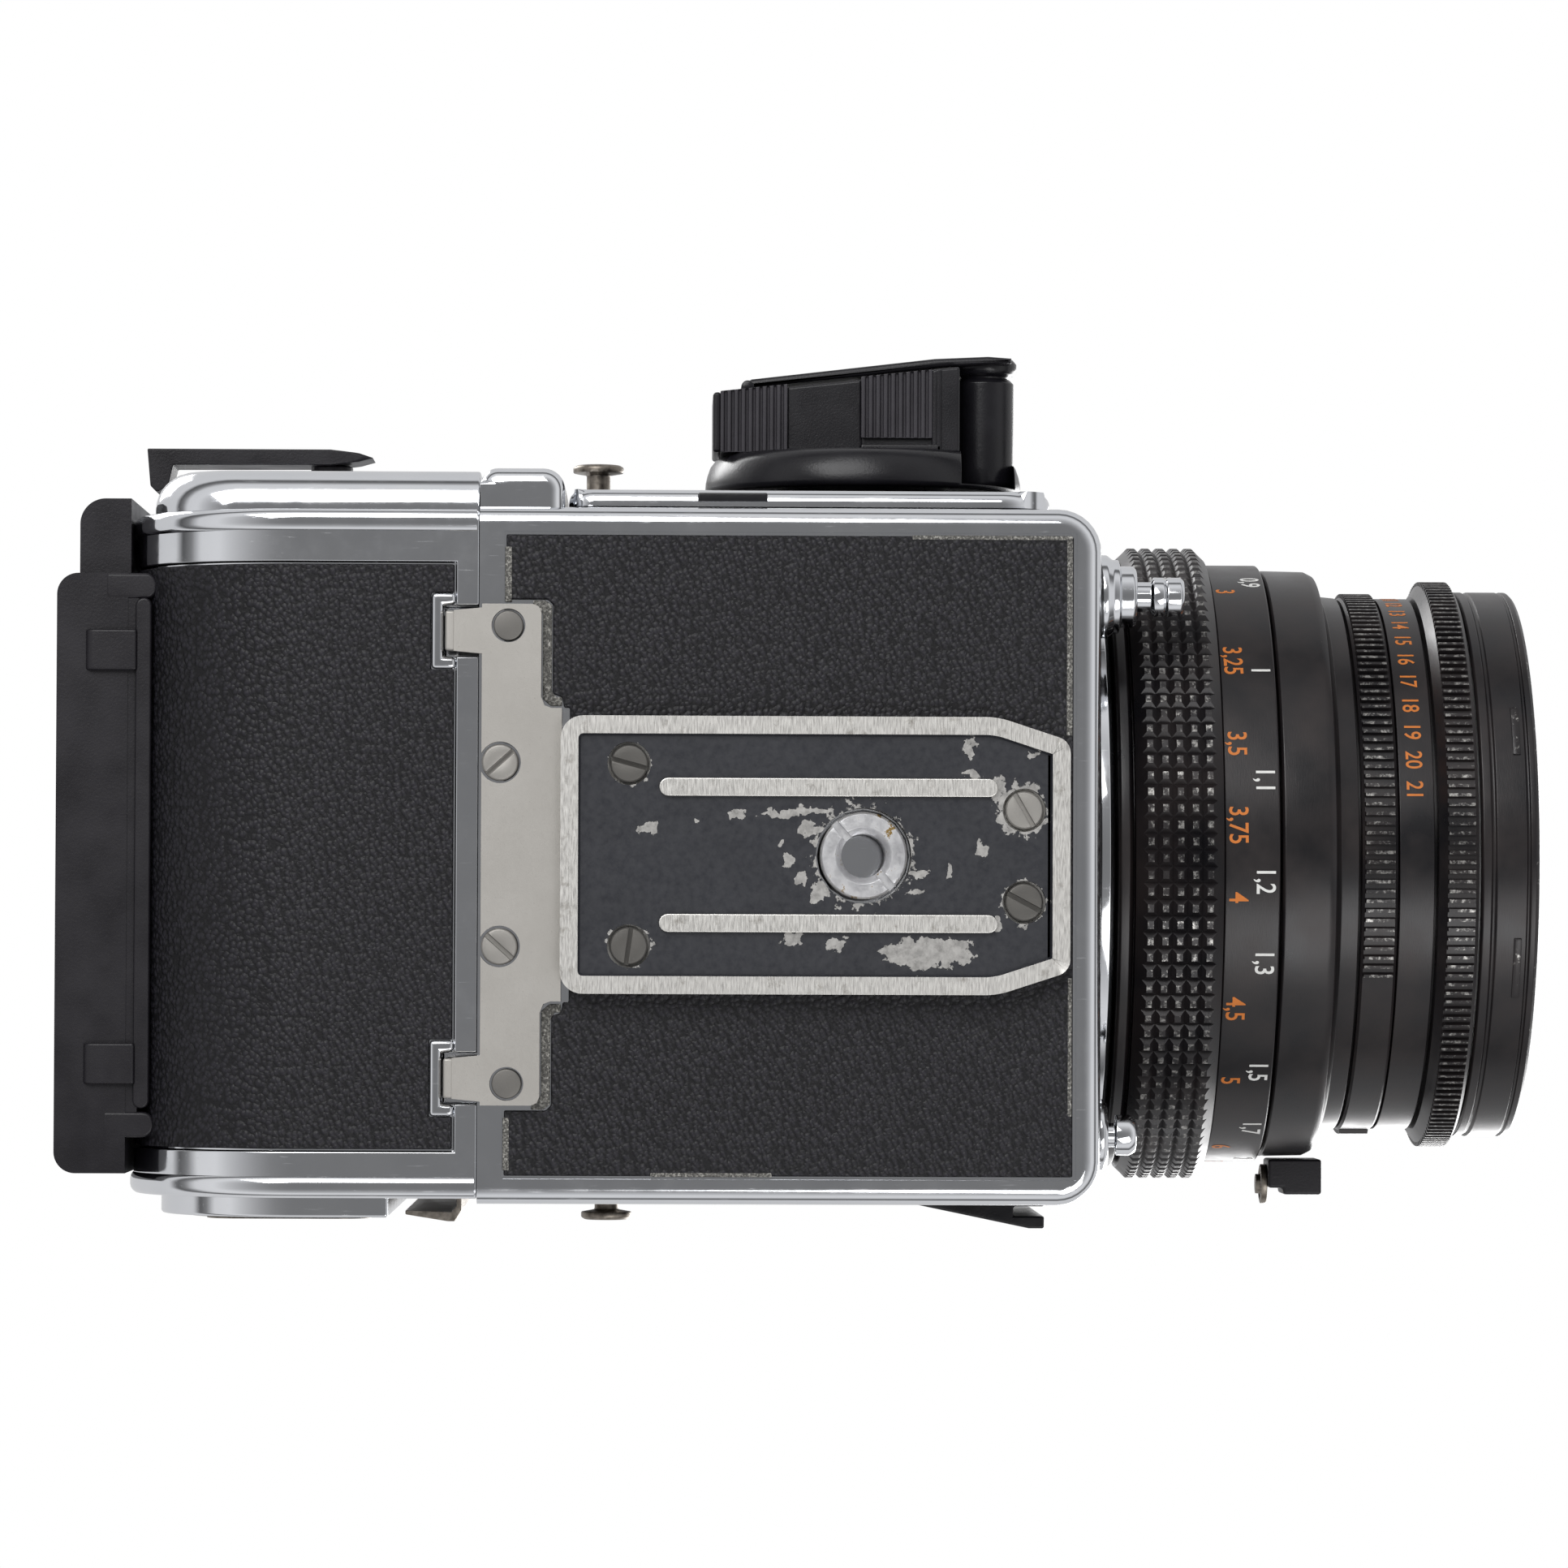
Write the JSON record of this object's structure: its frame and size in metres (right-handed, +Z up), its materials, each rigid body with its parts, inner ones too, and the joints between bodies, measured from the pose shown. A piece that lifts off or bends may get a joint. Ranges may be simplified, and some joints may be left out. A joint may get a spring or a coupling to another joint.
{
  "type": "medium-format single lens reflex camera",
  "caption": "Box-shaped roll-film reflex camera with a leaf-shutter lens, removable film magazine, folding hood and fold-out winding crank.",
  "frame": {"origin": "bottom centre of the object's box, on the plane of the tripod plate's face", "axes": "+Z up, the lens looks along -Y, the winding crank is on -X"},
  "size_m": [0.1062, 0.174, 0.109],
  "materials": {
    "chromed_body": "satin to bright chrome plate on the body and magazine castings, with soft-edged reflections and fine rub marks",
    "leatherette": "black pebbled leather covering with a low sheen",
    "bare_metal": "worn bare rim and rails round a chipped black painted floor, dull grey on the support plate",
    "steel": "dull turned steel",
    "black_paint": "black stove enamel, semi-gloss, edges slightly rubbed",
    "black_anodised": "black anodised and knurled, bright metal showing along worn edges",
    "black_plastic": "moulded black plastic, fine matt grain",
    "coated_glass": "polished glass with an amber and violet coating",
    "mirror_silver": "front-silvered",
    "screen_glass": "ground glass"
  },
  "bodies": {
    "camera_body": {"body_shell": "chromed_body", "bottom_leather": "leatherette", "left_leather": "leatherette", "front_leather": "leatherette", "right_cover": "chromed_body", "right_leather": "leatherette", "tripod_plate": "bare_metal", "tripod_bush": "steel", "plate_screw_1": "steel", "plate_screw_2": "steel", "plate_screw_3": "steel", "plate_screw_4": "steel", "support_plate": "bare_metal", "support_pin_right": "steel", "support_pin_left": "steel", "support_screw_right": "steel", "support_screw_left": "steel", "accessory_rail": "black_paint", "strap_lug_right": "chromed_body", "strap_lug_left": "chromed_body", "release_collar": "chromed_body", "focusing_screen": "screen_glass", "lens_mount_ring": "chromed_body", "hood_frame": "black_paint"},
    "release_button": {"shutter_release": "chromed_body"},
    "lens_release_button": {"lens_release": "chromed_body"},
    "winding_knob": {"wind_knob": "black_paint"},
    "winding_crank": {"wind_crank": "black_paint"},
    "mirror": {"mirror_frame": "black_paint", "mirror_glass": "mirror_silver"},
    "upper_flap": {"flap_upper": "black_paint"},
    "lower_flap": {"flap_lower": "black_paint"},
    "lens_base": {"lens_base_barrel": "black_anodised"},
    "focusing_ring": {"focus_ring": "black_anodised", "distance_scale": "black_anodised"},
    "lens_head": {"lens_head_barrel": "black_anodised", "front_ring": "black_anodised", "front_glass": "coated_glass", "rear_glass": "coated_glass", "iris_stop": "black_paint", "flash_terminal": "black_plastic"},
    "shutter_speed_ring": {"speed_ring": "black_anodised", "exposure_scale": "black_anodised"},
    "aperture_control": {"aperture_ring": "black_anodised"},
    "magazine": {"magazine_shell": "chromed_body", "magazine_leather": "leatherette", "dark_slide_holder": "black_plastic"},
    "latch": {"magazine_latch": "chromed_body"},
    "film_crank": {"magazine_crank": "black_plastic"},
    "slide": {"dark_slide": "steel"},
    "insert": {"film_insert": "chromed_body", "pressure_plate": "black_paint"},
    "key": {"insert_key": "steel"},
    "feed_spool": {"supply_spool": "black_plastic"},
    "winding_spool": {"takeup_spool": "black_plastic"},
    "lid": {"hood_lid": "black_paint"},
    "left_hood_panel": {"hood_left_panel": "black_paint"},
    "right_hood_panel": {"hood_right_panel": "black_paint"},
    "rear_hood_panel": {"hood_rear_panel": "black_paint"},
    "hood_magnifier": {"magnifier": "black_paint"}
  },
  "joints": [
    {"name": "shutter_press", "type": "slide", "parent": "camera_body", "child": "release_button", "axis": [0, 1, 0], "range_m": [0, 0.003], "stiffness_N_per_m": 150},
    {"name": "lens_release_press", "type": "slide", "parent": "camera_body", "child": "lens_release_button", "axis": [0, 1, 0], "range_m": [0, 0.0012], "stiffness_N_per_m": 200},
    {"name": "wind_turn", "type": "hinge", "parent": "camera_body", "child": "winding_knob", "pos_m": [-0.0366, -0.00755, 0.044], "axis": [1, 0, 0], "continuous": true},
    {"name": "crank_fold", "type": "hinge", "parent": "winding_knob", "child": "winding_crank", "pos_m": [-0.0501, 0.00795, 0.044], "axis": [0, 0, -1], "range_deg": [0, 175]},
    {"name": "mirror_flip", "type": "hinge", "parent": "camera_body", "child": "mirror", "pos_m": [0.0082, 0.03145, 0.079], "axis": [-1, 0, 0], "range_deg": [0, 45]},
    {"name": "upper_flap_swing", "type": "hinge", "parent": "camera_body", "child": "upper_flap", "pos_m": [0.0082, 0.03345, 0.076], "axis": [-1, 0, 0], "range_deg": [0, 88.1]},
    {"name": "lower_flap_swing", "type": "hinge", "parent": "camera_body", "child": "lower_flap", "pos_m": [0.0082, 0.03345, 0.021], "axis": [1, 0, 0], "range_deg": [0, 88.1]},
    {"name": "bayonet_turn", "type": "hinge", "parent": "camera_body", "child": "lens_base", "pos_m": [0.0082, -0.03655, 0.0485], "axis": [0, -1, 0], "range_deg": [0, 60]},
    {"name": "focus_turn", "type": "hinge", "parent": "lens_base", "child": "focusing_ring", "pos_m": [0.0082, -0.04455, 0.0485], "axis": [0, -1, 0], "range_deg": [0, 255]},
    {"name": "lens_extend", "type": "slide", "parent": "lens_base", "child": "lens_head", "axis": [0, -1, 0], "range_m": [0, 0.00865]},
    {"name": "speed_turn", "type": "hinge", "parent": "lens_head", "child": "shutter_speed_ring", "pos_m": [0.0082, -0.06955, 0.0485], "axis": [0, -1, 0], "range_deg": [-60, 48]},
    {"name": "aperture_turn", "type": "hinge", "parent": "lens_head", "child": "aperture_control", "pos_m": [0.0082, -0.07755, 0.0485], "axis": [0, -1, 0], "range_deg": [-20, 64]},
    {"name": "magazine_tilt", "type": "hinge", "parent": "camera_body", "child": "magazine", "pos_m": [0.0082, 0.04095, 0.0032], "axis": [-1, 0, 0], "range_deg": [0, 25]},
    {"name": "latch_slide", "type": "slide", "parent": "magazine", "child": "latch", "axis": [-1, 0, 0], "range_m": [0, 0.004], "stiffness_N_per_m": 120},
    {"name": "dark_slide_pull", "type": "slide", "parent": "magazine", "child": "slide", "axis": [1, 0, 0], "range_m": [0, 0.075]},
    {"name": "insert_pull", "type": "slide", "parent": "magazine", "child": "insert", "axis": [1, 0, 0], "range_m": [0, 0.08]},
    {"name": "key_turn", "type": "hinge", "parent": "insert", "child": "key", "pos_m": [0.0512, 0.06145, 0.0465], "axis": [1, 0, 0], "range_deg": [0, 90]},
    {"name": "film_crank_turn", "type": "hinge", "parent": "magazine", "child": "film_crank", "pos_m": [-0.0398, 0.05745, 0.06], "axis": [1, 0, 0], "continuous": true},
    {"name": "feed_spool_turn", "type": "hinge", "parent": "insert", "child": "feed_spool", "pos_m": [0.0082, 0.06135, 0.0204], "axis": [1, 0, 0], "continuous": true},
    {"name": "winding_spool_turn", "type": "hinge", "parent": "insert", "child": "winding_spool", "pos_m": [0.0082, 0.06135, 0.0708], "axis": [1, 0, 0], "continuous": true},
    {"name": "lid_open", "type": "hinge", "parent": "camera_body", "child": "lid", "pos_m": [0.0082, -0.03255, 0.102], "axis": [1, 0, 0], "range_deg": [0, 90]},
    {"name": "left_panel_swing", "type": "hinge", "parent": "camera_body", "child": "left_hood_panel", "pos_m": [0.0417, 0.00245, 0.104], "axis": [0, 1, 0], "range_deg": [0, 90.1]},
    {"name": "right_panel_swing", "type": "hinge", "parent": "camera_body", "child": "right_hood_panel", "pos_m": [-0.0253, 0.00245, 0.104], "axis": [0, -1, 0], "range_deg": [0, 90.1]},
    {"name": "rear_panel_swing", "type": "hinge", "parent": "camera_body", "child": "rear_hood_panel", "pos_m": [0.0082, 0.03145, 0.1021], "axis": [-1, 0, 0], "range_deg": [0, 90.1]},
    {"name": "magnifier_swing", "type": "hinge", "parent": "lid", "child": "hood_magnifier", "pos_m": [0.0082, 0.00345, 0.106], "axis": [-1, 0, 0], "range_deg": [0, 90.1]}
  ],
  "couplings": [
    {"joint": "upper_flap_swing", "follows": "mirror_flip", "ratio": 1.9556},
    {"joint": "lower_flap_swing", "follows": "mirror_flip", "ratio": 1.9556},
    {"joint": "lens_extend", "follows": "focus_turn", "m_per_rad": 0.0019323},
    {"joint": "feed_spool_turn", "follows": "film_crank_turn", "ratio": 0.6},
    {"joint": "winding_spool_turn", "follows": "film_crank_turn", "ratio": 1},
    {"joint": "left_panel_swing", "follows": "lid_open", "ratio": 1},
    {"joint": "right_panel_swing", "follows": "lid_open", "ratio": 1},
    {"joint": "rear_panel_swing", "follows": "lid_open", "ratio": 1},
    {"joint": "magnifier_swing", "follows": "lid_open", "ratio": 1}
  ]
}
